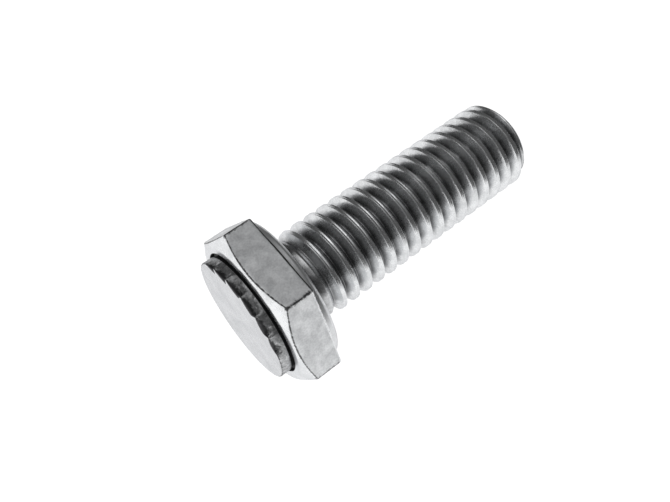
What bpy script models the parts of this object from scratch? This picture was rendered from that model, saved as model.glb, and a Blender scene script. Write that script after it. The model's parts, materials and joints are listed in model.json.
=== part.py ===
"""Hex-head bolt, threaded almost to the head, with a raised round disc on top of the hexagon.

The bolt's axis is the X axis. The centre of the disc's top face is the origin, the head is at
low X and the threaded tip is at high X. Two of the six flats are horizontal, one up and one down.
All sizes are in metres. The solid is one closed skin, lofted ring by ring along the axis: disc,
foot groove, chamfered hexagon, washer face, neck, helical thread and end face.
"""

import math

import bmesh
import bpy

MM = 0.001

# Head
ACROSS_FLATS = 9.8 * MM
HEX_HEIGHT = 2.32 * MM           # from the hexagon's top plane to its underside
CHAMFER_MARGIN = 0.2 * MM        # how far the chamfer's circle lies inside the flats
CHAMFER_ANGLE = math.radians(30)
WASHER_FACE_HEIGHT = 0.5 * MM
WASHER_FACE_MARGIN = 0.04 * MM   # how far the washer face lies inside the flats
WASHER_FACE_BEVEL = 0.2 * MM

# Raised disc on the head
DISC_RISE = 0.78 * MM            # from the hexagon's top plane to the disc's face
DISC_LAND = 0.65 * MM            # flat ring left round the disc on the hexagon's top plane
SCOOP_SPACING = math.radians(20)
SCOOP_DEPTH = 0.5 * MM           # how far the deepest scoop bites into the disc's rim
SCOOP_LENGTH = 0.5 * MM          # how far a scoop runs down the disc's wall before it fades out
SCOOP_PEAK = 0.75                # share of a scoop's width at which it is deepest
SCOOPED_SIDE = math.radians(95)  # middle of the scooped stretch of the rim
SCOOPED_REACH = math.radians(60)  # the scoops fade out this far to either side of it
SCOOP_FADE_POWER = 4             # a high power keeps the scoops deep until near that end
GROOVE_WIDTH = 0.16 * MM         # crevice at the disc's foot
GROOVE_DEPTH = 0.3 * MM

# Shank
LENGTH = 17.8 * MM               # from the washer face to the tip, 18 mm nominal
THREAD_DIAMETER = 6.0 * MM
PITCH = 1.0 * MM
THREAD_DEPTH_PER_PITCH = 0.6134  # ISO external thread, crest to root
CREST_FLAT_PER_PITCH = 0.25      # rolled to a blunt crest, the widest that the standard allows
FLANK_ANGLE = math.radians(30)
NECK_LENGTH = 0.5 * MM           # plain length under the head, before the thread starts
RUN_IN = 1.4 * MM                # length over which the thread grows to its full depth
FILLET_CLEARANCE = 0.05 * MM     # how far outside the thread's crests the neck's fillet ends
TIP_CHAMFER = 0.43 * MM          # how much smaller the end face's radius is than the crest's
TIP_CHAMFER_ANGLE = math.radians(45)

# Facets
TRIANGLE_BUDGET = 12600          # a longer or finer thread gets fewer facets round the axis
HEAD_ROWS = 14                   # rows of facets on the head and the two end faces, less the fillet
THREAD_ROWS = 4                  # rows of facets in one turn of the thread
FILLET_STEPS = 3
SNAP = 0.06                      # share of a pitch under which a thread row joins the end ring
SPARE_TURNS = 2                  # turns laid beyond each end, so that every column reaches both ends

# Derived sizes
half_flats = ACROSS_FLATS / 2
chamfer_radius = half_flats - CHAMFER_MARGIN
disc_radius = chamfer_radius - DISC_LAND
washer_radius = half_flats - WASHER_FACE_MARGIN
crest_radius = THREAD_DIAMETER / 2
thread_depth = PITCH * THREAD_DEPTH_PER_PITCH
root_radius = crest_radius - thread_depth
neck_radius = crest_radius - thread_depth / 2
tip_radius = crest_radius - TIP_CHAMFER
crest_flat = PITCH * CREST_FLAT_PER_PITCH
flank_run = thread_depth * math.tan(FLANK_ANGLE)
neck_fillet = crest_radius - neck_radius + FILLET_CLEARANCE
hex_top = DISC_RISE
hex_underside = hex_top + HEX_HEIGHT
bearing_face = hex_underside + WASHER_FACE_HEIGHT
thread_start = bearing_face + NECK_LENGTH
tip_face = bearing_face + LENGTH

FLATS = 6
rows_along = HEAD_ROWS + FILLET_STEPS + THREAD_ROWS * (tip_face - thread_start) / PITCH
columns = FLATS * int(TRIANGLE_BUDGET / (2 * FLATS * rows_along))

SHARP_ANGLE = math.radians(30)
STEEL_COLOUR = (0.80, 0.81, 0.82, 1.0)
STEEL_ROUGHNESS = 0.28


def column_angle(column):
    """Angle of a column of facets round the axis, from +Y towards +Z."""
    return math.tau * column / columns


def hexagon_radius(angle):
    """Distance from the axis to the hexagon's side; its corners are at 0, 60, 120 degrees and so on."""
    sector = math.tau / FLATS
    return half_flats / math.cos(angle % sector - sector / 2)


def scoop_depth(angle):
    """Depth of the row of scoops along one side of the disc's rim, each with one steep end."""
    from_middle = (angle - SCOOPED_SIDE + math.pi) % math.tau - math.pi
    fade = max(0.0, 1.0 - (from_middle / SCOOPED_REACH) ** SCOOP_FADE_POWER)
    across = from_middle / SCOOP_SPACING % 1.0
    rise = min(across / SCOOP_PEAK, (1.0 - across) / (1.0 - SCOOP_PEAK))
    return SCOOP_DEPTH * fade * math.sin(rise * math.pi / 2)


def thread_radius(x, angle):
    """Radius of the right-hand thread, fading in from the neck and cut by the tip's chamfer."""
    turn = ((x - thread_start) / PITCH - angle / math.tau) % 1.0
    from_crest = min(turn, 1.0 - turn) * PITCH
    fall = (from_crest - crest_flat / 2) / flank_run
    full = crest_radius - thread_depth * min(max(fall, 0.0), 1.0)
    grown = min(max((x - thread_start) / RUN_IN, 0.0), 1.0)
    radius = neck_radius + (full - neck_radius) * grown
    return min(radius, tip_radius + (tip_face - x) * math.tan(TIP_CHAMFER_ANGLE))


def add_ring(mesh, x_of_angle, radius_of_angle):
    """Add one closed ring of vertices round the axis."""
    ring = []
    for column in range(columns):
        angle = column_angle(column)
        radius = radius_of_angle(angle)
        point = (x_of_angle(angle), radius * math.cos(angle), radius * math.sin(angle))
        ring.append(mesh.verts.new(point))
    return ring


def head_rings(mesh):
    """Rings from the disc's rim to the start of the thread, in order along the skin."""
    def level(x):
        return lambda angle: x

    def round_at(radius):
        return lambda angle: radius

    def chamfer_edge(angle):
        return hex_top + (hexagon_radius(angle) - chamfer_radius) * math.tan(CHAMFER_ANGLE)

    groove_floor = hex_top + GROOVE_DEPTH
    rings = [
        add_ring(mesh, level(0.0), lambda angle: disc_radius - scoop_depth(angle)),
        add_ring(mesh, level(SCOOP_LENGTH), round_at(disc_radius)),
        add_ring(mesh, level(hex_top), round_at(disc_radius)),
        add_ring(mesh, level(groove_floor), round_at(disc_radius)),
        add_ring(mesh, level(groove_floor), round_at(disc_radius + GROOVE_WIDTH / 2)),
        add_ring(mesh, level(hex_top), round_at(disc_radius + GROOVE_WIDTH)),
        add_ring(mesh, level(hex_top), round_at(chamfer_radius)),
        add_ring(mesh, chamfer_edge, hexagon_radius),
        add_ring(mesh, level(hex_underside), hexagon_radius),
        add_ring(mesh, level(hex_underside), round_at(washer_radius)),
        add_ring(mesh, level(bearing_face - WASHER_FACE_BEVEL), round_at(washer_radius)),
        add_ring(mesh, level(bearing_face), round_at(washer_radius - WASHER_FACE_BEVEL)),
    ]
    for step in range(FILLET_STEPS + 1):
        turned = math.pi / 2 * step / FILLET_STEPS
        x = bearing_face + neck_fillet * (1 - math.cos(turned))
        radius = neck_radius + neck_fillet * (1 - math.sin(turned))
        rings.append(add_ring(mesh, level(x), round_at(radius)))
    rings.append(add_ring(mesh, level(thread_start), round_at(neck_radius)))
    return rings


def bridge(mesh, rings):
    """Join each ring to the next with four-sided faces."""
    for near, far in zip(rings, rings[1:]):
        for column in range(columns):
            after = (column + 1) % columns
            mesh.faces.new((near[column], near[after], far[after], far[column]))


def close_with_fan(mesh, ring, x):
    """Close the skin with a flat round face made of triangles about a centre vertex."""
    centre = mesh.verts.new((x, 0.0, 0.0))
    for column in range(columns):
        mesh.faces.new((ring[column], ring[(column + 1) % columns], centre))


def add_thread(mesh, start_ring, end_ring):
    """Fill the shank between two rings with rows of facets that follow the helix."""
    offsets = (
        -crest_flat / 2 / PITCH,
        crest_flat / 2 / PITCH,
        (crest_flat / 2 + flank_run) / PITCH,
        1.0 - (crest_flat / 2 + flank_run) / PITCH,
    )
    turns = math.ceil((tip_face - thread_start) / PITCH) + SPARE_TURNS
    made = {}

    def vertex(column, row):
        if column == columns:
            return vertex(0, row + THREAD_ROWS)
        turn, place = divmod(row, THREAD_ROWS)
        x = thread_start + PITCH * (turn + offsets[place] + column / columns)
        if x < thread_start + SNAP * PITCH:
            return start_ring[column]
        if x > tip_face - SNAP * PITCH:
            return end_ring[column]
        if (column, row) not in made:
            angle = column_angle(column)
            radius = thread_radius(x, angle)
            point = (x, radius * math.cos(angle), radius * math.sin(angle))
            made[column, row] = mesh.verts.new(point)
        return made[column, row]

    for row in range(-SPARE_TURNS * THREAD_ROWS, turns * THREAD_ROWS):
        for column in range(columns):
            around = (vertex(column, row), vertex(column + 1, row),
                      vertex(column + 1, row + 1), vertex(column, row + 1))
            corners = list(dict.fromkeys(around))
            if len(corners) > 2:
                mesh.faces.new(corners)


def steel_material():
    """Bright zinc-plated steel, one even colour and gloss."""
    material = bpy.data.materials.new("zinc_plated_steel")
    material.use_nodes = True
    shader = material.node_tree.nodes["Principled BSDF"]
    shader.inputs["Base Color"].default_value = STEEL_COLOUR
    shader.inputs["Metallic"].default_value = 1.0
    shader.inputs["Roughness"].default_value = STEEL_ROUGHNESS
    return material


def build_hex_bolt():
    """Model the whole bolt as one closed body."""
    mesh = bmesh.new()
    rings = head_rings(mesh)
    end_ring = add_ring(mesh, lambda angle: tip_face, lambda angle: thread_radius(tip_face, angle))
    close_with_fan(mesh, rings[0], 0.0)
    bridge(mesh, rings)
    add_thread(mesh, rings[-1], end_ring)
    close_with_fan(mesh, end_ring, tip_face)
    bmesh.ops.recalc_face_normals(mesh, faces=mesh.faces)
    data = bpy.data.meshes.new("hex_bolt")
    mesh.to_mesh(data)
    mesh.free()
    data.shade_smooth()
    data.set_sharp_from_angle(angle=SHARP_ANGLE)
    data.materials.append(steel_material())
    bolt = bpy.data.objects.new("hex_bolt", data)
    bpy.context.scene.collection.objects.link(bolt)


for old in list(bpy.data.objects):
    bpy.data.objects.remove(old, do_unlink=True)

build_hex_bolt()
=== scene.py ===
"""Finished look of a short plated hex bolt, laid out as a Blender add-on and run as a script.

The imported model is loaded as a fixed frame. One operator lofts the bolt's fine skin over the
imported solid, one lays the light table and its lamps, and one sets up the camera. The bolt's axis
is the X axis, its head is at low X, and two of its flats are horizontal. Everything is in metres.
"""

import json
import math

import bmesh
import bpy
from bpy.props import FloatProperty, FloatVectorProperty, PointerProperty
from bpy.types import Operator, Panel, PropertyGroup
from mathutils import Matrix, Vector, noise


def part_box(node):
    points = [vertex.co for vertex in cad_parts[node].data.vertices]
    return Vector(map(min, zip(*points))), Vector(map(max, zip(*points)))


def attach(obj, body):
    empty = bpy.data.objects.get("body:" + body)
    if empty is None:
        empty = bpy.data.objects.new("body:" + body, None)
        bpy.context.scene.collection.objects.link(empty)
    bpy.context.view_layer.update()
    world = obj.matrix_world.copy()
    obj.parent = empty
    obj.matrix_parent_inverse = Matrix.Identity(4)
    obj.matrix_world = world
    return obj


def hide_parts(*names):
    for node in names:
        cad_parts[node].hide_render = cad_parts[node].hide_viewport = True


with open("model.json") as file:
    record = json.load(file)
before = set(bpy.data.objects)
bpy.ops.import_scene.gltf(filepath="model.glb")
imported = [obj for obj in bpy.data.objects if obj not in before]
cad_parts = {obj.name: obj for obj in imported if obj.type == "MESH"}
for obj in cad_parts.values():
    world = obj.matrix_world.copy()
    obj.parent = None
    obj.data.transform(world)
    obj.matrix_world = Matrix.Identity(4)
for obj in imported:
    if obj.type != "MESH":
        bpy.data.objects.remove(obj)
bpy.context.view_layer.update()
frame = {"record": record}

bl_info = {
    "name": "Hex Bolt Finish",
    "version": (1, 0, 0),
    "blender": (4, 5, 0),
    "location": "3D View > Sidebar > Hex Bolt",
    "description": "Fine skin, plated steel finishes, light table and camera for a hex bolt",
    "category": "Object",
}

MM = 0.001
MICROMETRE = MM / 1000
NODE = "hex_bolt"
BODY = "root"

MOUNTS = {mount["name"]: Vector(mount["pos_m"]) for mount in frame["record"]["mounts"]}
BOX_LOW, BOX_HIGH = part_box(NODE)
FACE_X = MOUNTS["head_top"].x
BEARING_X = MOUNTS["under_head"].x
TIP_X = MOUNTS["tip_face"].x
HALF_FLATS = (BOX_HIGH.z - BOX_LOW.z) / 2

FLATS = 6
SECTOR = math.tau / FLATS


class BoltShape(PropertyGroup):
    """Sizes of the bolt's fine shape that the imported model's box and mounts don't give."""

    washer_height: FloatProperty(
        name="Washer face height", description="Thickness of the round face under the hexagon",
        default=0.5 * MM, unit="LENGTH", precision=5)
    washer_margin: FloatProperty(
        name="Washer face margin", description="How far the washer face lies inside the flats",
        default=0.04 * MM, unit="LENGTH", precision=5)
    washer_bevel: FloatProperty(
        name="Washer face bevel", description="Bevel round the bearing side of the washer face",
        default=0.2 * MM, unit="LENGTH", precision=5)
    hex_height: FloatProperty(
        name="Hexagon height", description="From the hexagon's top plane to its underside",
        default=2.32 * MM, unit="LENGTH", precision=5)
    chamfer_margin: FloatProperty(
        name="Chamfer margin", description="How far the chamfer's circle lies inside the flats",
        default=0.2 * MM, unit="LENGTH", precision=5)
    chamfer_angle: FloatProperty(
        name="Chamfer angle", description="Slope of the chamfer on top of the hexagon",
        default=math.radians(30), subtype="ANGLE")
    disc_land: FloatProperty(
        name="Land round the disc", description="Flat ring between the disc and the chamfer",
        default=0.65 * MM, unit="LENGTH", precision=5)
    groove_width: FloatProperty(
        name="Crevice width", description="Width of the crevice at the disc's foot",
        default=0.16 * MM, unit="LENGTH", precision=5)
    undercut_height: FloatProperty(
        name="Undercut height", description="Height of the undercut at the foot of the disc's wall",
        default=0.11 * MM, unit="LENGTH", precision=5)
    undercut_depth: FloatProperty(
        name="Undercut depth", description="How far the undercut goes in under the disc's wall",
        default=0.1 * MM, unit="LENGTH", precision=5)
    groove_depth: FloatProperty(
        name="Crevice depth", description="Depth of the crevice at the disc's foot",
        default=0.3 * MM, unit="LENGTH", precision=5)
    scoop_spacing: FloatProperty(
        name="Scoop spacing", description="Angle from one scoop in the disc's rim to the next",
        default=math.radians(20), subtype="ANGLE")
    scoop_depth: FloatProperty(
        name="Scoop depth", description="How far the deepest scoop bites into the disc",
        default=0.5 * MM, unit="LENGTH", precision=5)
    scoop_peak: FloatProperty(
        name="Scoop peak", description="Share of a scoop's width at which it is deepest",
        default=0.86, min=0.1, max=0.95)
    scoop_unevenness: FloatProperty(
        name="Scoop unevenness", description="How much the scoops differ from each other",
        default=0.35, min=0.0, max=1.0)
    # The dark band under a torn lip is painted shadow.
    lip_shadow_height: FloatProperty(
        name="Lip shadow height", description="Height of the painted shadow band under a scoop's lip",
        default=0.36 * MM, unit="LENGTH", precision=5)
    scooped_side: FloatProperty(
        name="Scooped side", description="Middle of the scooped stretch of the rim",
        default=math.radians(95), subtype="ANGLE")
    scooped_reach: FloatProperty(
        name="Scooped reach", description="How far to either side the scoops fade out",
        default=math.radians(60), subtype="ANGLE")
    scoop_length: FloatProperty(
        name="Scoop length", description="How far a scoop runs down the disc's wall",
        default=0.5 * MM, unit="LENGTH", precision=5)
    thread_diameter: FloatProperty(
        name="Thread diameter", description="Diameter over the thread's crests",
        default=6.0 * MM, unit="LENGTH", precision=5)
    pitch: FloatProperty(
        name="Pitch", description="Distance from one crest to the next",
        default=1.0 * MM, unit="LENGTH", precision=5)
    thread_depth: FloatProperty(
        name="Thread depth", description="Height from root to crest",
        default=0.6134 * MM, unit="LENGTH", precision=5)
    crest_flat: FloatProperty(
        name="Crest width", description="Width of the blunt top of the thread",
        default=0.25 * MM, unit="LENGTH", precision=5)
    thread_softness: FloatProperty(
        name="Thread softness", description="Rounding of the crest and root, as a share of a flank",
        default=0.06, min=0.0, max=0.4)
    seam_depth: FloatProperty(
        name="Seam depth", description="Depth of the rolling seam along the crest, near the head",
        default=0.03 * MM, unit="LENGTH", precision=5)
    thread_wobble: FloatProperty(
        name="Thread wobble", description="Unevenness of the rolled thread",
        default=0.006 * MM, unit="LENGTH", precision=5)
    neck_length: FloatProperty(
        name="Neck length", description="Plain length between the head and the thread",
        default=0.5 * MM, unit="LENGTH", precision=5)
    run_in: FloatProperty(
        name="Thread run-in", description="Length over which the thread reaches its full depth",
        default=1.4 * MM, unit="LENGTH", precision=5)
    neck_fillet: FloatProperty(
        name="Neck fillet", description="Radius where the neck meets the washer face",
        default=0.36 * MM, unit="LENGTH", precision=5)
    tip_chamfer: FloatProperty(
        name="Tip chamfer", description="How much the end face is smaller in radius than the crests",
        default=0.43 * MM, unit="LENGTH", precision=5)
    corner_radius: FloatProperty(
        name="Corner radius", description="Rounding of the six long corners of the hexagon",
        default=0.16 * MM, unit="LENGTH", precision=5)
    edge_radius: FloatProperty(
        name="Edge rounding", description="Rounding of the hexagon's underside edge",
        default=0.12 * MM, unit="LENGTH", precision=5)
    # One side's underside edge is darkened with painted shade.
    shaded_edge_side: FloatProperty(
        name="Shaded edge side", description="Side of the hexagon whose underside edge gets the most painted shade",
        default=math.radians(90), subtype="ANGLE")
    chamfer_rounding: FloatProperty(
        name="Chamfer rounding", description="Rounding where the chamfer meets the flats",
        default=0.08 * MM, unit="LENGTH", precision=5)


class SteelFinish(PropertyGroup):
    """Colours and roughness of the plated steel."""

    light_colour: FloatVectorProperty(
        name="Plating, light", description="Colour of the plating where it is clean",
        subtype="COLOR", size=3, default=(0.78, 0.79, 0.80), min=0.0, max=1.0)
    dark_colour: FloatVectorProperty(
        name="Plating, dark", description="Colour of the plating where it is dull",
        subtype="COLOR", size=3, default=(0.62, 0.63, 0.64), min=0.0, max=1.0)
    # Also the colour of the painted shade in hollows and along some edges.
    wear_and_shade_colour: FloatVectorProperty(
        name="Worn edges and painted shade", description="Colour of worn edges and of painted shade",
        subtype="COLOR", size=3, default=(0.06, 0.06, 0.062), min=0.0, max=1.0)
    graze_colour: FloatVectorProperty(
        name="Grazing tint", description="Tint of the dull film on the plating, seen edge on",
        subtype="COLOR", size=3, default=(0.75, 0.75, 0.76), min=0.0, max=1.0)


class Studio(PropertyGroup):
    """Light table, lamps and camera."""

    floor_colour: FloatVectorProperty(
        name="Floor colour", description="Colour of the light table",
        subtype="COLOR", size=3, default=(0.5, 0.5, 0.5), min=0.0, max=1.0)
    floor_glow: FloatProperty(
        name="Floor glow", description="Light that comes through the table from below",
        default=1.0, min=0.0)
    room_light: FloatProperty(
        name="Room light", description="Brightness of the dim room above the table",
        default=0.095, min=0.0)
    wide_lamp: FloatProperty(
        name="Wide lamp", description="Power of the wide soft lamp above the bolt's head",
        default=0.12, min=0.0, unit="POWER")
    small_lamp: FloatProperty(
        name="Small lamp", description="Power of the small soft lamp above the bolt",
        default=0.115, min=0.0, unit="POWER")
    lens: FloatProperty(
        name="Lens", description="Focal length of the camera's lens",
        default=40.07, unit="CAMERA")
    azimuth: FloatProperty(
        name="Azimuth", description="Direction of the camera round the bolt",
        default=math.radians(-44.35), subtype="ANGLE")
    elevation: FloatProperty(
        name="Elevation", description="Height of the camera above the table",
        default=math.radians(61.66), subtype="ANGLE")
    roll: FloatProperty(
        name="Roll", description="Tilt of the camera about its line of sight",
        default=math.radians(-5.63), subtype="ANGLE")
    distance: FloatProperty(
        name="Distance", description="From the camera to the point that it looks at",
        default=46.42 * MM, unit="LENGTH")
    aim_along: FloatProperty(
        name="Aim along the bolt", description="Where on the axis the camera looks, from the disc",
        default=7.35 * MM, unit="LENGTH")
    aim_across: FloatProperty(
        name="Aim across the bolt", description="How far beside the axis the camera looks",
        default=0.18 * MM, unit="LENGTH", precision=5)


# Columns and rows of the skin. The corner offsets stay below the column step.

COLUMN_STEP = math.radians(1.5)
THREAD_COLUMN_STEP = math.radians(3)
CORNER_OFFSETS = [math.radians(degrees) for degrees in (0.0, 0.15, 0.3, 0.45, 0.6, 0.72, 0.85, 1.1)]
CREST_ROWS = (0.2, 0.45, 0.75, 0.9, 1.0)               # shares of half a crest
FLANK_ROWS = (0.05, 0.1, 0.2, 0.45, 0.75, 0.93)        # shares of a flank
TIP_RINGS = (0.985, 0.95, 0.8, 0.5, 0.2)               # shares of the end face's radius
ROUND_STEPS = 5
ROUND_LIMIT = 0.45                                     # share of a side that a rounding may take
SPARE_TURNS = 2                                        # turns laid beyond each end of the thread
SNAP_SHARE = 0.012                                     # share of a pitch joined to an end ring

# Roundings of the head's profile

RIM_ROUNDING = 0.08 * MM
SCOOPED_RIM_ROUNDING = 0.05 * MM                       # added to the rim's where a scoop is deep
SCOOP_FOOT_ROUNDING = 0.1 * MM
WALL_FOOT_ROUNDING = 0.03 * MM
CREVICE_ROUNDING = 0.02 * MM
CREVICE_EDGE_ROUNDING = 0.04 * MM
LAND_ROUNDING = 0.12 * MM
WASHER_ROUNDING = 0.03 * MM
BEVEL_ROUNDING = 0.09 * MM

# Shape of the disc and of the thread

DISC_CENTRE_SHARE = 0.02                               # first ring on the disc's face
DISC_MIDDLE_SHARE = 0.8                                # where the finer rings near the rim start
SCOOP_FADE_POWER = 4                                   # keeps the scoops deep until near their ends
SCOOP_FOOT_SHARE = 0.15                                # how much of a scoop is left at its foot
SCOOP_DRAWS_APART = 3.7                                # step through the noise from scoop to scoop
SCOOP_DRAW_ROW = 0.5                                   # row of the noise that the scoops draw from
DEEP_SCOOP = 0.5                                       # share of the depth with a fully torn lip
WALL_TAPER = 0.02 * MM
CREVICE_FLOOR_SHARE = 0.7                              # width of its floor against its mouth
FLANK_ANGLE = math.radians(30)
SEAM_WIDTH = 0.3                                       # share of the crest's width
WOBBLE_SIZE = 1.3 * MM

# Wear and painted shade along the edges, from 0 to 1

RIM_WEAR = 0.4
# Painted shadow along a torn lip, added to the rim's wear.
TORN_LIP_SHADOW = 0.6                                    # added to the rim's where a lip is torn
CHAMFER_WEAR = 0.6
UNDERSIDE_WEAR = 0.1
# Painted shade added to the underside edge's wear on one side.
SHADED_EDGE_DARKENING = 0.8                                   # added to the underside's on the worn side
SHADED_EDGE_POWER = 3
# Wear and painted shade along the six long corners of the hexagon.
CORNER_WEAR_AND_SHADE = 0.7
CORNER_WEAR_AND_SHADE_REACH = math.radians(1.8)
TIP_WEAR = 0.6


def column_angles():
    """Angles of the skin's columns, crowded at the hexagon's corners, from +Y towards +Z."""
    angles = []
    for sector in range(FLATS):
        start = sector * SECTOR
        near = [start + offset for offset in CORNER_OFFSETS]
        steps = int(round(SECTOR / COLUMN_STEP))
        middle = [start + step * COLUMN_STEP for step in range(1, steps)]
        far = [start + SECTOR - offset for offset in reversed(CORNER_OFFSETS[1:])]
        angles += near + middle + far
    return angles


def thread_columns(angles):
    """Places of the evenly spaced columns that go on down the thread; the rest stop at the neck."""
    columns = []
    for step in range(int(round(math.tau / THREAD_COLUMN_STEP))):
        target = step * THREAD_COLUMN_STEP
        columns.append(min(range(len(angles)), key=lambda place: abs(angles[place] - target)))
    return columns


def from_corner(angle):
    """Angle from the nearest corner of the hexagon."""
    return abs((angle + SECTOR / 2) % SECTOR - SECTOR / 2)


def hexagon_radius(angle, corner_radius):
    """Distance from the axis to the side of a hexagon with rounded corners."""
    turned = from_corner(angle)
    inner = HALF_FLATS - corner_radius
    tangent = SECTOR / 2 - math.atan(inner * math.tan(SECTOR / 2) / HALF_FLATS)
    if turned >= tangent:
        return HALF_FLATS / math.cos(SECTOR / 2 - turned)
    centre = inner / math.cos(SECTOR / 2)
    side = centre * math.sin(turned)
    return centre * math.cos(turned) + math.sqrt(corner_radius ** 2 - side ** 2)


def soften(corners):
    """Round the corners of a profile.

    Each corner is (x, radius, rounding, steps to the next corner, zone, wear), the wear with painted
    shade in it. The result is a list of (x, radius, edge mask, zone), with the same count for any
    sizes.
    """
    points = []
    last = len(corners) - 1
    for index, (x, radius, rounding, steps, zone, wear) in enumerate(corners):
        here = Vector((x, radius))
        if rounding and 0 < index < last:
            before = Vector(corners[index - 1][:2]) - here
            after = Vector(corners[index + 1][:2]) - here
            start = here + before.normalized() * min(rounding, before.length * ROUND_LIMIT)
            end = here + after.normalized() * min(rounding, after.length * ROUND_LIMIT)
            for step in range(ROUND_STEPS + 1):
                t = step / ROUND_STEPS
                point = start * (1 - t) ** 2 + here * 2 * t * (1 - t) + end * t ** 2
                points.append((point.x, point.y, wear * math.sin(math.pi * t), zone))
        else:
            points.append((x, radius, 0.0, zone))
        if index < last and steps > 1:
            start = Vector(points[-1][:2])
            target = Vector(corners[index + 1][:2])
            reach = target - start
            cut = min(corners[index + 1][2], (target - here).length * ROUND_LIMIT)
            reach -= reach.normalized() * cut
            for step in range(1, steps):
                point = start + reach * step / steps
                points.append((point.x, point.y, 0.0, zone))
    return points


def from_scooped_middle(angle, shape):
    """Angle from the middle of the scooped stretch of the disc's rim, positive or negative."""
    return (angle - shape.scooped_side + math.pi) % math.tau - math.pi


def scoop_fade(angle, shape):
    """1 along the scooped stretch of the disc's rim, falling to 0 at its two ends."""
    place = from_scooped_middle(angle, shape) / shape.scooped_reach
    return max(0.0, 1.0 - place ** SCOOP_FADE_POWER)


def scoop(angle, shape):
    """Share of the full scoop depth along one side of the disc's rim; one end of each is steep."""
    place = from_scooped_middle(angle, shape) / shape.scoop_spacing
    across = place % 1.0
    draw = Vector((math.floor(place) * SCOOP_DRAWS_APART, SCOOP_DRAW_ROW, 0.0))
    size = 1.0 + noise.noise(draw) * shape.scoop_unevenness
    rise = min(across / shape.scoop_peak, (1.0 - across) / (1.0 - shape.scoop_peak))
    return scoop_fade(angle, shape) * size * math.sin(rise * math.pi / 2) ** size


def torn(angle, shape):
    """1 where the lip of a scoop is fully torn, 0 where the disc's rim is whole."""
    return min(scoop(angle, shape) / DEEP_SCOOP, 1.0)


ZONES = ("disc_face", "disc_wall", "crevice", "chamfer", "flats", "underside", "washer",
         "thread", "tip")


def head_profile(angle, shape):
    """Corners of the head's profile at one angle, from the disc's centre to the neck."""
    hex_underside = BEARING_X - shape.washer_height
    hex_top = hex_underside - shape.hex_height
    chamfer_radius = HALF_FLATS - shape.chamfer_margin
    disc_radius = chamfer_radius - shape.disc_land
    washer_radius = HALF_FLATS - shape.washer_margin
    neck_radius = shape.thread_diameter / 2 - shape.thread_depth / 2
    side = hexagon_radius(angle, shape.corner_radius)
    chamfer_x = hex_top + (side - chamfer_radius) * math.tan(shape.chamfer_angle)
    bite = shape.scoop_depth * scoop(angle, shape)
    lip = torn(angle, shape)
    lip_rounding = RIM_ROUNDING + SCOOPED_RIM_ROUNDING * lip
    # Where a lip is torn, painted shadow darkens the rim.
    lip_wear_and_shadow = RIM_WEAR + TORN_LIP_SHADOW * lip
    # Painted shade darkens the underside edge towards one side; the rest is wear.
    worn = max(0.0, math.cos(angle - shape.shaded_edge_side)) ** SHADED_EDGE_POWER
    edge_wear_and_shade = UNDERSIDE_WEAR + SHADED_EDGE_DARKENING * worn
    scoop_foot = FACE_X + shape.scoop_length
    undercut_x = hex_top - shape.undercut_height
    undercut_radius = disc_radius - shape.undercut_depth
    floor = hex_top + shape.groove_depth
    floor_radius = disc_radius + shape.groove_width * CREVICE_FLOOR_SHARE
    thread_start = BEARING_X + shape.neck_length
    bevel_x = BEARING_X - shape.washer_bevel
    return soften([
        (FACE_X, disc_radius * DISC_CENTRE_SHARE, 0.0, 6, "disc_face", 0.0),
        (FACE_X, disc_radius * DISC_MIDDLE_SHARE, 0.0, 4, "disc_face", 0.0),
        (FACE_X, disc_radius - bite, lip_rounding, 9, "disc_wall", lip_wear_and_shadow),
        (scoop_foot, disc_radius - bite * SCOOP_FOOT_SHARE, SCOOP_FOOT_ROUNDING, 3,
         "disc_wall", 0.0),
        (undercut_x, disc_radius - WALL_TAPER, WALL_FOOT_ROUNDING, 1, "crevice", 0.0),
        (hex_top, undercut_radius, WALL_FOOT_ROUNDING, 1, "crevice", 0.0),
        (floor, undercut_radius, CREVICE_ROUNDING, 1, "crevice", 0.0),
        (floor, floor_radius, CREVICE_ROUNDING, 1, "crevice", 0.0),
        (hex_top, disc_radius + shape.groove_width, CREVICE_EDGE_ROUNDING, 3, "chamfer", 0.0),
        (hex_top, chamfer_radius, LAND_ROUNDING, 4, "chamfer", 0.0),
        (chamfer_x, side, shape.chamfer_rounding, 12, "flats", CHAMFER_WEAR),
        (hex_underside, side, shape.edge_radius, 1, "underside", edge_wear_and_shade),
        (hex_underside, washer_radius, WASHER_ROUNDING, 2, "washer", 0.0),
        (bevel_x, washer_radius, BEVEL_ROUNDING, 1, "washer", 0.0),
        (BEARING_X, washer_radius - shape.washer_bevel, BEVEL_ROUNDING, 4, "underside", 0.0),
        (BEARING_X, neck_radius, shape.neck_fillet, 2, "thread", 0.0),
        (thread_start, neck_radius, 0.0, 1, "thread", 0.0),
    ])


def ramp(t, blend):
    """0 below 0 and 1 above 1, straight between, with both bends rounded over the blend width."""
    def bend(value):
        if value < -blend:
            return 0.0
        if value < blend:
            return (value + blend) ** 2 / (4 * blend)
        return value
    return bend(t) - bend(t - 1.0)


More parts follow.
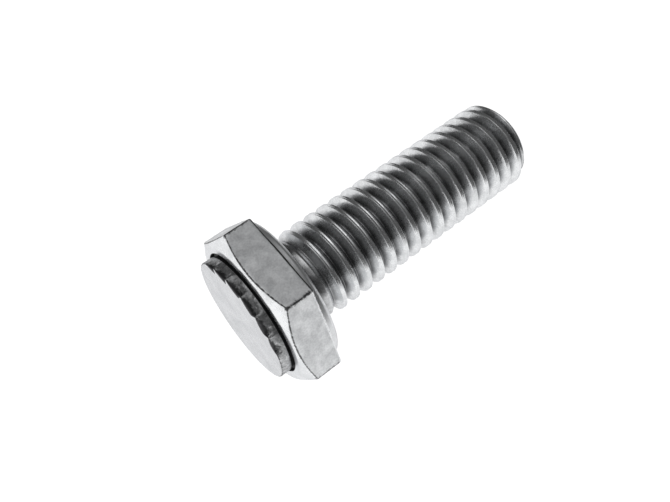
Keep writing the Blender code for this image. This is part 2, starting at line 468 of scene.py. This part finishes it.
def thread_radius(x, angle, shape):
    """Radius of the rolled right-hand thread, cut at the tip by a 45 degree chamfer.

    A shallow seam runs along the crest, deepest near the head.
    """
    start = BEARING_X + shape.neck_length
    crest = shape.thread_diameter / 2
    neck = crest - shape.thread_depth / 2
    flank_run = shape.thread_depth * math.tan(FLANK_ANGLE)
    turn = ((x - start) / shape.pitch - angle / math.tau) % 1.0
    from_crest = min(turn, 1.0 - turn) * shape.pitch
    fall = ramp((from_crest - shape.crest_flat / 2) / flank_run, shape.thread_softness)
    along = (x - start) / (TIP_X - start)
    seam = max(0.0, 1.0 - from_crest / (shape.crest_flat * SEAM_WIDTH))
    full = crest - shape.thread_depth * fall - shape.seam_depth * seam * max(0.0, 1.0 - along)
    grown = min(max((x - start) / shape.run_in, 0.0), 1.0)
    grown = grown * grown * (3 - 2 * grown)
    radius = neck + (full - neck) * grown
    place = Vector((x, math.cos(angle) * crest, math.sin(angle) * crest))
    radius += shape.thread_wobble * noise.noise(place / WOBBLE_SIZE) * grown
    tip = crest - shape.tip_chamfer
    return min(radius, tip + (TIP_X - x))


def thread_rows(shape):
    """Places of the rows along one pitch, crowded at the edges of the crest, from root to root."""
    half = shape.crest_flat / 2 / shape.pitch
    foot = half + shape.thread_depth * math.tan(FLANK_ANGLE) / shape.pitch
    side = [half * share for share in CREST_ROWS]
    side += [half + (foot - half) * share for share in FLANK_ROWS]
    return [-0.5] + [-place for place in reversed(side)] + [0.0] + side


def point_at(x, radius, angle):
    """A point by its place along the axis, its distance from it and its angle round it."""
    return Vector((x, radius * math.cos(angle), radius * math.sin(angle)))


class Skin:
    """A closed skin of rings; all columns shape the head, and only the kept ones the thread."""

    def __init__(self, angles):
        self.mesh = bmesh.new()
        self.angles = angles
        self.kept = thread_columns(angles)
        self.thread_angles = [angles[place] for place in self.kept]
        self.edge_layer = self.mesh.verts.layers.float.new("edge")
        self.depth_layer = self.mesh.verts.layers.float.new("depth")

    def vertex(self, x, radius, angle, edge=0.0, depth=0.0):
        """A vertex with two masks from 0 to 1: wear and painted shade on an edge, and depth, which
        sets how much painted shade it gets.
        """
        made = self.mesh.verts.new(point_at(x, radius, angle))
        made[self.edge_layer] = edge
        made[self.depth_layer] = depth
        return made

    def face(self, corners, zone):
        """A face in one zone; corners that fall together are joined."""
        corners = list(dict.fromkeys(corners))
        if len(corners) > 2:
            made = self.mesh.faces.new(corners)
            made.material_index = ZONES.index(zone)

    def bridge(self, near, far, zone):
        """Join two rings with the same columns."""
        count = len(near)
        for column in range(count):
            after = (column + 1) % count
            self.face((near[column], near[after], far[after], far[column]), zone)

    def thin_out(self, near, far, zone):
        """Join a ring of all columns to one of only the columns that go on down the thread."""
        ends = self.kept[1:] + [len(near)]
        for column, (first, last) in enumerate(zip(self.kept, ends)):
            side = [near[place % len(near)] for place in range(first, last + 1)]
            self.face((*side, far[(column + 1) % len(far)], far[column]), zone)

    def fan(self, ring, x, zone):
        """Close a ring with triangles about a centre vertex."""
        centre = self.vertex(x, 0.0, 0.0)
        for column, corner in enumerate(ring):
            self.face((corner, ring[(column + 1) % len(ring)], centre), zone)


def add_head(skin, shape):
    """Loft the head and the neck; returns the ring where the thread starts."""
    profiles = [head_profile(angle, shape) for angle in skin.angles]
    last = len(profiles[0]) - 1
    rings = []
    for row in range(last + 1):
        ring = []
        for angle, profile in zip(skin.angles, profiles):
            x, radius, edge, zone = profile[row]
            if row == last and angle not in skin.thread_angles:
                continue
            # The neck and the fillet get full painted shade, which dims their reflections.
            depth = 1.0 if x > BEARING_X else 0.0
            if zone == "flats":
                # Wear and painted shade along the hexagon's corners.
                edge = max(edge, CORNER_WEAR_AND_SHADE * (1.0 - from_corner(angle) / CORNER_WEAR_AND_SHADE_REACH))
            if zone == "disc_wall":
                # Painted shadow: a dark band under a torn lip.
                edge = max(edge, torn(angle, shape) * (1.0 - (x - FACE_X) / shape.lip_shadow_height))
                # The scooped stretch of the wall gets painted shade.
                depth = scoop_fade(angle, shape)
            ring.append(skin.vertex(x, radius, angle, edge, depth))
        rings.append(ring)
    skin.fan(rings[0], FACE_X, "disc_face")
    for row, (near, far) in enumerate(zip(rings, rings[1:-1])):
        skin.bridge(near, far, profiles[0][row][3])
    skin.thin_out(rings[-2], rings[-1], "thread")
    return rings[-1]


def add_thread(skin, shape, start_ring):
    """Fill the shank with rows that follow the helix; returns the ring round the end face."""
    start = BEARING_X + shape.neck_length
    end_ring = [skin.vertex(TIP_X, thread_radius(TIP_X, angle, shape), angle, TIP_WEAR)
                for angle in skin.thread_angles]
    count = len(skin.thread_angles)
    places = thread_rows(shape)
    rows = len(places)
    turns = math.ceil((TIP_X - start) / shape.pitch) + SPARE_TURNS
    snap = SNAP_SHARE * shape.pitch
    made = {}

    def vertex(column, row):
        if column == count:
            return vertex(0, row + rows)
        turn, place = divmod(row, rows)
        angle = skin.thread_angles[column]
        x = start + shape.pitch * (turn + places[place] + angle / math.tau)
        if x < start + snap:
            return start_ring[column]
        if x > TIP_X - snap:
            return end_ring[column]
        if (column, row) not in made:
            radius = thread_radius(x, angle, shape)
            depth = (shape.thread_diameter / 2 - radius) / shape.thread_depth
            # Painted shade also darkens the run-in near the head, which dims its reflections.
            depth = max(depth, 1.0 - (x - start) / shape.run_in)
            made[column, row] = skin.vertex(x, radius, angle, depth=min(max(depth, 0.0), 1.0))
        return made[column, row]

    for row in range(-SPARE_TURNS * rows, turns * rows):
        for column in range(count):
            skin.face((vertex(column, row), vertex(column + 1, row),
                       vertex(column + 1, row + 1), vertex(column, row + 1)), "thread")
    return end_ring


def add_tip(skin, shape, end_ring):
    """Close the end of the shank with its flat face."""
    inner = end_ring
    for share in TIP_RINGS:
        ring = []
        for angle, vertex in zip(skin.thread_angles, end_ring):
            edge_radius = math.hypot(vertex.co.y, vertex.co.z)
            ring.append(skin.vertex(TIP_X, edge_radius * share, angle))
        skin.bridge(inner, ring, "tip")
        inner = ring
    skin.fan(inner, TIP_X, "tip")


# Steel finishes. Sizes are in millimetres; each range is what a mask spreads over 0 to 1.

NOISE_MIDDLE = 0.5
CLOUD_RANGE = (0.34, 0.66)
CLOUD_SHARE = 0.65
SPECK_SIZE = 0.11
SPECK_RANGE = (0.38, 0.62)
SPECK_SHARE = 0.35
WEAR_PATCH_SIZE = 0.16
WEAR_RANGE = (0.2, 0.55)
WEAR_ONSET = (0.0, 0.12)
DENT_SIZE = 0.4
DENT_RANGE = (0.25, 0.45)
# Patches and range of the painted shade in the thread's roots, on the neck and on the disc's wall.
SHADE_PATCH_SIZE = 0.5
SHADE_RAGGEDNESS = 0.5
SHADE_RANGE = (0.4, 1.0)
STREAK_RANGE = (0.5, 0.7)
STREAK_PATCH_SIZE = 1.6
STREAK_PATCH_RANGE = (0.4, 0.65)


def new_group(name, inputs, outputs):
    """An empty shader node group with named inputs and outputs."""
    group = bpy.data.node_groups.new(name, "ShaderNodeTree")
    for label, kind, default in inputs:
        socket = group.interface.new_socket(label, in_out="INPUT", socket_type=kind)
        socket.default_value = default
    for label, kind in outputs:
        group.interface.new_socket(label, in_out="OUTPUT", socket_type=kind)
    return group, group.nodes.new("NodeGroupInput"), group.nodes.new("NodeGroupOutput")


def math_node(tree, operation, first, second, clamp=False):
    """The result of a sum on two values, each a number or a socket."""
    node = tree.nodes.new("ShaderNodeMath")
    node.operation = operation
    node.use_clamp = clamp
    for socket, value in zip(node.inputs, (first, second)):
        if isinstance(value, (int, float)):
            socket.default_value = value
        else:
            tree.links.new(value, socket)
    return node.outputs[0]


def noise_node(tree, scale, detail, roughness=0.55):
    """Noise over the bolt's own coordinates; a scale in millimetres is the size of its features."""
    place = tree.nodes.new("ShaderNodeTexCoord")
    node = tree.nodes.new("ShaderNodeTexNoise")
    tree.links.new(place.outputs["Object"], node.inputs["Vector"])
    if isinstance(scale, (int, float)):
        node.inputs["Scale"].default_value = 1.0 / (scale * MM)
    else:
        tree.links.new(math_node(tree, "DIVIDE", 1.0 / MM, scale), node.inputs["Scale"])
    node.inputs["Detail"].default_value = detail
    node.inputs["Roughness"].default_value = roughness
    return node.outputs["Fac"]


def stretch(tree, value, low, high):
    """Spread the part of a value between low and high over 0 to 1."""
    node = tree.nodes.new("ShaderNodeMapRange")
    node.inputs["From Min"].default_value = low
    node.inputs["From Max"].default_value = high
    tree.links.new(value, node.inputs["Value"])
    return node.outputs["Result"]


def mottle_group():
    """Clouds of cleaner and duller plating: a colour and a roughness."""
    group, source, result = new_group(
        "Mottled plating",
        [("Light", "NodeSocketColor", (0.8, 0.8, 0.8, 1.0)),
         ("Dark", "NodeSocketColor", (0.5, 0.5, 0.5, 1.0)),
         ("Cloud size", "NodeSocketFloat", 1.0),
         ("Smooth", "NodeSocketFloat", 0.2),
         ("Rough", "NodeSocketFloat", 0.4)],
        [("Colour", "NodeSocketColor"), ("Roughness", "NodeSocketFloat")])
    clouds = noise_node(group, source.outputs["Cloud size"], detail=5.0)
    clouds = stretch(group, clouds, *CLOUD_RANGE)
    specks = stretch(group, noise_node(group, SPECK_SIZE, detail=3.0), *SPECK_RANGE)
    cloud_part = math_node(group, "MULTIPLY", clouds, CLOUD_SHARE)
    speck_part = math_node(group, "MULTIPLY", specks, SPECK_SHARE)
    total = math_node(group, "ADD", cloud_part, speck_part, clamp=True)
    blend = group.nodes.new("ShaderNodeMix")
    blend.data_type = "RGBA"
    group.links.new(total, blend.inputs["Factor"])
    group.links.new(source.outputs["Light"], blend.inputs["A"])
    group.links.new(source.outputs["Dark"], blend.inputs["B"])
    group.links.new(blend.outputs["Result"], result.inputs["Colour"])
    spread = group.nodes.new("ShaderNodeMapRange")
    group.links.new(total, spread.inputs["Value"])
    group.links.new(source.outputs["Smooth"], spread.inputs["To Min"])
    group.links.new(source.outputs["Rough"], spread.inputs["To Max"])
    group.links.new(spread.outputs["Result"], result.inputs["Roughness"])
    return group


def edge_wear_and_shade_group():
    """Ragged line of wear and painted shade along the skin's edges: a mask."""
    group, source, result = new_group(
        "Edge wear and painted shade",
        [("Strength", "NodeSocketFloat", 1.0), ("Raggedness", "NodeSocketFloat", 0.5)],
        [("Mask", "NodeSocketFloat")])
    edge = group.nodes.new("ShaderNodeAttribute")
    edge.attribute_name = "edge"
    patches = noise_node(group, WEAR_PATCH_SIZE, detail=3.0)
    patches = math_node(group, "SUBTRACT", patches, NOISE_MIDDLE)
    shift = math_node(group, "MULTIPLY", patches, source.outputs["Raggedness"])
    line = math_node(group, "ADD", edge.outputs["Fac"], shift)
    present = stretch(group, edge.outputs["Fac"], *WEAR_ONSET)
    mask = math_node(group, "MULTIPLY", stretch(group, line, *WEAR_RANGE), present)
    mask = math_node(group, "MULTIPLY", mask, source.outputs["Strength"], clamp=True)
    group.links.new(mask, result.inputs["Mask"])
    return group


def grain_group():
    """Fine grain of the plating: a height."""
    group, source, result = new_group(
        "Plating grain",
        [("Grain size", "NodeSocketFloat", 0.06), ("Pits", "NodeSocketFloat", 0.3)],
        [("Height", "NodeSocketFloat")])
    grain = noise_node(group, source.outputs["Grain size"], detail=4.0, roughness=0.6)
    dents = stretch(group, noise_node(group, DENT_SIZE, detail=2.0), *DENT_RANGE)
    dent_height = math_node(group, "MULTIPLY", dents, source.outputs["Pits"])
    group.links.new(math_node(group, "ADD", grain, dent_height), result.inputs["Height"])
    return group


def turning_group():
    """Rings left by a turning tool or a die about the bolt's axis: a height."""
    group, source, result = new_group(
        "Turning marks",
        [("Spacing", "NodeSocketFloat", 0.08)],
        [("Height", "NodeSocketFloat")])
    place = group.nodes.new("ShaderNodeTexCoord")
    apart = group.nodes.new("ShaderNodeSeparateXYZ")
    group.links.new(place.outputs["Object"], apart.inputs[0])
    squares = [math_node(group, "MULTIPLY", apart.outputs[axis], apart.outputs[axis])
               for axis in ("Y", "Z")]
    radius = math_node(group, "SQRT", math_node(group, "ADD", *squares), 0.0)
    spacing = math_node(group, "MULTIPLY", source.outputs["Spacing"], MM)
    scaled = math_node(group, "DIVIDE", radius, spacing)
    rings = group.nodes.new("ShaderNodeTexNoise")
    rings.noise_dimensions = "1D"
    rings.inputs["Scale"].default_value = 1.0
    rings.inputs["Detail"].default_value = 3.0
    group.links.new(scaled, rings.inputs["W"])
    group.links.new(rings.outputs["Fac"], result.inputs["Height"])
    return group


def painted_shade_group():
    """Painted shade in the thread's roots, on the neck and between the scoops, laid as a dark film:
    a mask.
    """
    group, source, result = new_group(
        "Root grime", [("Strength", "NodeSocketFloat", 1.0)], [("Mask", "NodeSocketFloat")])
    depth = group.nodes.new("ShaderNodeAttribute")
    depth.attribute_name = "depth"
    patches = noise_node(group, SHADE_PATCH_SIZE, detail=3.0)
    patches = math_node(group, "SUBTRACT", patches, NOISE_MIDDLE)
    shift = math_node(group, "MULTIPLY", patches, SHADE_RAGGEDNESS)
    film = stretch(group, math_node(group, "ADD", depth.outputs["Fac"], shift), *SHADE_RANGE)
    mask = math_node(group, "MULTIPLY", film, source.outputs["Strength"], clamp=True)
    group.links.new(mask, result.inputs["Mask"])
    return group


class SteelGroups:
    """The shared node groups, each built once."""

    def __init__(self):
        self.mottle = mottle_group()
        self.edge = edge_wear_and_shade_group()
        self.grain = grain_group()
        self.turning = turning_group()
        self.painted_shade = painted_shade_group()


def place_group(tree, group, **values):
    """A copy of a shared group in a material, with some inputs set; _ stands for a space."""
    node = tree.nodes.new("ShaderNodeGroup")
    node.node_tree = group
    for label, value in values.items():
        socket = node.inputs[label.replace("_", " ")]
        socket.default_value = (*value, 1.0) if hasattr(value, "__len__") else value
    return node


def tinted(tree, colour, mask, tint):
    """A colour that turns into a plain tint where the mask is 1."""
    node = tree.nodes.new("ShaderNodeMix")
    node.data_type = "RGBA"
    node.inputs["B"].default_value = (*tint, 1.0)
    tree.links.new(mask, node.inputs["Factor"])
    tree.links.new(colour, node.inputs["A"])
    return node.outputs["Result"]


def raised(tree, height, micrometres, normal=None):
    """The normal of a surface raised by a height, on top of another normal if there is one."""
    node = tree.nodes.new("ShaderNodeBump")
    node.inputs["Distance"].default_value = micrometres * MICROMETRE
    tree.links.new(height, node.inputs["Height"])
    if normal:
        tree.links.new(normal, node.inputs["Normal"])
    return node.outputs["Normal"]


def streak_mask(tree, groups, spacing, strength):
    """Broken dull rings about the bolt's axis: a mask."""
    rings = place_group(tree, groups.turning, Spacing=spacing)
    drawn = stretch(tree, rings.outputs["Height"], *STREAK_RANGE)
    broken = stretch(tree, noise_node(tree, STREAK_PATCH_SIZE, detail=2.0), *STREAK_PATCH_RANGE)
    return math_node(tree, "MULTIPLY", math_node(tree, "MULTIPLY", drawn, broken), strength)


def plated_steel(name, groups, finish, tone=1.0, dull=1.0, smooth=0.18, rough=0.34, cloud=1.2,
                 wear=0.9, ragged=1.0, grain=0.06, grain_height=0.5, pits=0.3, marks=0.0,
                 spacing=0.08, painted_shade=0.0, streaks=0.0, film=1.0):
    """One finish of the plated steel; sizes are in millimetres and heights in micrometres."""
    material = bpy.data.materials.new(name)
    material.use_nodes = True
    tree = material.node_tree
    shader = tree.nodes["Principled BSDF"]
    shader.inputs["Metallic"].default_value = 1.0
    light = [channel * tone for channel in finish.light_colour]
    dark = [channel * tone * dull for channel in finish.dark_colour]
    mottle = place_group(tree, groups.mottle, Light=light, Dark=dark, Cloud_size=cloud,
                         Smooth=smooth, Rough=rough)
    edge = place_group(tree, groups.edge, Strength=wear, Raggedness=ragged)
    # Edges darken with wear and with painted shade.
    colour = tinted(tree, mottle.outputs["Colour"], edge.outputs["Mask"], finish.wear_and_shade_colour)
    # Painted shade darkens the colour where the depth mask is high.
    if painted_shade:
        painted_shade_node = place_group(tree, groups.painted_shade, Strength=painted_shade)
        colour = tinted(tree, colour, painted_shade_node.outputs["Mask"], finish.wear_and_shade_colour)
    if streaks:
        mask = streak_mask(tree, groups, spacing * 2, streaks)
        colour = tinted(tree, colour, mask, finish.dark_colour)
    tree.links.new(colour, shader.inputs["Base Color"])
    tree.links.new(mottle.outputs["Roughness"], shader.inputs["Roughness"])
    graze = [1.0 - (1.0 - channel) * film for channel in finish.graze_colour]
    shader.inputs["Specular Tint"].default_value = (*graze, 1.0)
    fine = place_group(tree, groups.grain, Grain_size=grain, Pits=pits)
    normal = raised(tree, fine.outputs["Height"], grain_height)
    if marks:
        rings = place_group(tree, groups.turning, Spacing=spacing)
        normal = raised(tree, rings.outputs["Height"], marks, normal)
    tree.links.new(normal, shader.inputs["Normal"])
    return material


def steel_finishes(finish):
    """The finish of each zone of the skin, in the order of ZONES."""
    groups = SteelGroups()
    return (
        plated_steel("pressed_disc_face", groups, finish, tone=0.95, smooth=0.2, rough=0.34,
                     grain_height=1.0, marks=2.0, spacing=0.12, streaks=0.8),
        # The wall's dark lip band is painted shadow, and its scooped stretch painted shade.
        plated_steel("sheared_disc_wall", groups, finish, tone=0.8, dull=0.4, smooth=0.3,
                     rough=0.5, cloud=0.25, wear=1.3, grain=0.14, grain_height=18.0, pits=1.5,
                     painted_shade=0.38),
        # The crevice's near-black colour is painted shadow.
        plated_steel("crevice_painted_shadow", groups, finish, tone=0.12, smooth=0.4, rough=0.6),
        plated_steel("pressed_chamfer", groups, finish, tone=1.1, smooth=0.22, rough=0.34,
                     marks=1.0),
        plated_steel("trimmed_flats", groups, finish, tone=1.2, dull=0.9, smooth=0.5, rough=0.62,
                     cloud=0.8, ragged=1.4, grain_height=4.0, pits=0.6, film=0.2),
        plated_steel("bearing_side", groups, finish, smooth=0.25, rough=0.35, marks=1.0),
        plated_steel("washer_side", groups, finish, smooth=0.4, rough=0.5, grain_height=3.0),
        # The thread's painted shade darkens its roots, the neck and the run-in.
        plated_steel("rolled_thread", groups, finish, smooth=0.21, rough=0.35, cloud=0.6,
                     wear=0.4, grain_height=3.0, pits=0.8, painted_shade=0.8),
        plated_steel("cut_tip", groups, finish, tone=0.8, smooth=0.3, rough=0.5, wear=0.6,
                     grain_height=4.0),
    )


class HEXBOLT_OT_skin(Operator):
    """Loft the bolt's fine skin and give it its finishes"""

    bl_idname = "hexbolt.skin"
    bl_label = "Make the bolt"

    def execute(self, context):
        shape = context.scene.hexbolt_shape
        skin = Skin(column_angles())
        start_ring = add_head(skin, shape)
        end_ring = add_thread(skin, shape, start_ring)
        add_tip(skin, shape, end_ring)
        bmesh.ops.recalc_face_normals(skin.mesh, faces=skin.mesh.faces)
        data = bpy.data.meshes.new("hex_bolt_skin")
        skin.mesh.to_mesh(data)
        skin.mesh.free()
        data.shade_smooth()
        for material in steel_finishes(context.scene.hexbolt_finish):
            data.materials.append(material)
        bolt = bpy.data.objects.new("hex_bolt_skin", data)
        context.scene.collection.objects.link(bolt)
        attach(bolt, BODY)
        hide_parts(NODE)
        return {"FINISHED"}


# Studio. The table reaches far to the side that the camera looks from, and ends close behind
# the bolt, so that the light runs out there; lamps hang in these directions from the bolt.

TABLE_RADIUS = 0.3
TABLE_CENTRE = (-0.13, -0.22)
TABLE_SEGMENTS = 96
TABLE_ROUGHNESS = 0.7
CLIP_END = 10.0
WIDE_LAMP_DIRECTION = (-0.37, -0.12, 0.92)
WIDE_LAMP_SIZE = 0.3
SMALL_LAMP_DIRECTION = (-0.1, 0.3, 0.95)
SMALL_LAMP_SIZE = 0.2
LAMP_DISTANCE = 0.3


def floor_mesh(height):
    """A wide round table top."""
    mesh = bmesh.new()
    bmesh.ops.create_circle(mesh, cap_ends=True, radius=TABLE_RADIUS, segments=TABLE_SEGMENTS)
    bmesh.ops.translate(mesh, verts=mesh.verts, vec=(*TABLE_CENTRE, height))
    data = bpy.data.meshes.new("light_table")
    mesh.to_mesh(data)
    mesh.free()
    return data


def floor_material(studio):
    """A dull white table top that glows with the light from below it."""
    material = bpy.data.materials.new("light_table")
    material.use_nodes = True
    shader = material.node_tree.nodes["Principled BSDF"]
    shader.inputs["Base Color"].default_value = (*studio.floor_colour, 1.0)
    shader.inputs["Roughness"].default_value = TABLE_ROUGHNESS
    shader.inputs["Specular IOR Level"].default_value = 0.0
    shader.inputs["Emission Color"].default_value = (1.0, 1.0, 1.0, 1.0)
    shader.inputs["Emission Strength"].default_value = studio.floor_glow
    return material


def room_world(studio):
    """A pale backdrop behind the table, and a dim room above it for everything that reflects."""
    world = bpy.data.worlds.new("room")
    world.use_nodes = True
    tree = world.node_tree
    backdrop = tree.nodes["Background"]
    backdrop.inputs["Color"].default_value = (1.0, 1.0, 1.0, 1.0)
    room = tree.nodes.new("ShaderNodeBackground")
    room.inputs["Color"].default_value = (1.0, 1.0, 1.0, 1.0)
    room.inputs["Strength"].default_value = studio.room_light
    ray = tree.nodes.new("ShaderNodeLightPath")
    blend = tree.nodes.new("ShaderNodeMixShader")
    tree.links.new(ray.outputs["Is Camera Ray"], blend.inputs["Fac"])
    tree.links.new(room.outputs[0], blend.inputs[1])
    tree.links.new(backdrop.outputs[0], blend.inputs[2])
    tree.links.new(blend.outputs[0], tree.nodes["World Output"].inputs["Surface"])
    return world


def soft_lamp(name, place, aim, size, power):
    """A square area lamp at a place, facing a point."""
    lamp = bpy.data.lights.new(name, "AREA")
    lamp.shape = "SQUARE"
    lamp.size = size
    lamp.energy = power
    holder = bpy.data.objects.new(name, lamp)
    holder.location = place
    holder.rotation_mode = "QUATERNION"
    holder.rotation_quaternion = (aim - place).to_track_quat("-Z", "Y")
    bpy.context.scene.collection.objects.link(holder)
    return holder


class HEXBOLT_OT_stage(Operator):
    """Lay the light table under the bolt and hang the soft lamps over it"""

    bl_idname = "hexbolt.stage"
    bl_label = "Lay the stage"

    def execute(self, context):
        studio = context.scene.hexbolt_studio
        table = bpy.data.objects.new("light_table", floor_mesh(BOX_LOW.z))
        table.data.materials.append(floor_material(studio))
        context.scene.collection.objects.link(table)
        context.scene.world = room_world(studio)
        centre = (BOX_LOW + BOX_HIGH) / 2
        for name, direction, size, power in (
                ("wide_lamp", WIDE_LAMP_DIRECTION, WIDE_LAMP_SIZE, studio.wide_lamp),
                ("small_lamp", SMALL_LAMP_DIRECTION, SMALL_LAMP_SIZE, studio.small_lamp)):
            place = centre + Vector(direction).normalized() * LAMP_DISTANCE
            soft_lamp(name, place, centre, size, power)
        return {"FINISHED"}


class HEXBOLT_OT_camera(Operator):
    """Set the camera over the bolt, near the head"""

    bl_idname = "hexbolt.camera"
    bl_label = "Set the camera"

    def execute(self, context):
        studio = context.scene.hexbolt_studio
        camera = bpy.data.cameras.new("camera")
        camera.lens = studio.lens
        camera.clip_start = MM
        camera.clip_end = CLIP_END
        holder = bpy.data.objects.new("camera", camera)
        level = math.cos(studio.elevation)
        back = Vector((math.sin(studio.azimuth) * level, -math.cos(studio.azimuth) * level,
                       math.sin(studio.elevation)))
        aim = Vector((FACE_X + studio.aim_along, studio.aim_across, 0.0))
        holder.rotation_mode = "QUATERNION"
        level_view = (-back).to_track_quat("-Z", "Y").to_matrix()
        turned = level_view @ Matrix.Rotation(-studio.roll, 3, "Z")
        holder.rotation_quaternion = turned.to_quaternion()
        holder.location = aim + back * studio.distance
        context.scene.collection.objects.link(holder)
        context.scene.camera = holder
        context.scene.view_settings.view_transform = "Standard"
        return {"FINISHED"}


class HEXBOLT_PT_panel(Panel):
    """Hex bolt tools"""

    bl_label = "Hex Bolt"
    bl_idname = "HEXBOLT_PT_panel"
    bl_space_type = "VIEW_3D"
    bl_region_type = "UI"
    bl_category = "Hex Bolt"

    def draw(self, context):
        layout = self.layout
        for group in GROUPS:
            box = layout.box()
            settings = getattr(context.scene, group)
            for name in settings.__annotations__:
                box.prop(settings, name)
        for operator in OPERATORS:
            layout.operator(operator.bl_idname)


GROUPS = {
    "hexbolt_shape": BoltShape,
    "hexbolt_finish": SteelFinish,
    "hexbolt_studio": Studio,
}
OPERATORS = (HEXBOLT_OT_skin, HEXBOLT_OT_stage, HEXBOLT_OT_camera)


def register():
    for name, group in GROUPS.items():
        bpy.utils.register_class(group)
        setattr(bpy.types.Scene, name, PointerProperty(type=group))
    for operator in OPERATORS:
        bpy.utils.register_class(operator)
    bpy.utils.register_class(HEXBOLT_PT_panel)


def unregister():
    bpy.utils.unregister_class(HEXBOLT_PT_panel)
    for operator in reversed(OPERATORS):
        bpy.utils.unregister_class(operator)
    for name, group in reversed(GROUPS.items()):
        delattr(bpy.types.Scene, name)
        bpy.utils.unregister_class(group)


def main():
    """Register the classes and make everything."""
    register()
    bpy.ops.hexbolt.skin()
    bpy.ops.hexbolt.stage()
    bpy.ops.hexbolt.camera()


if __name__ == "__main__":
    main()
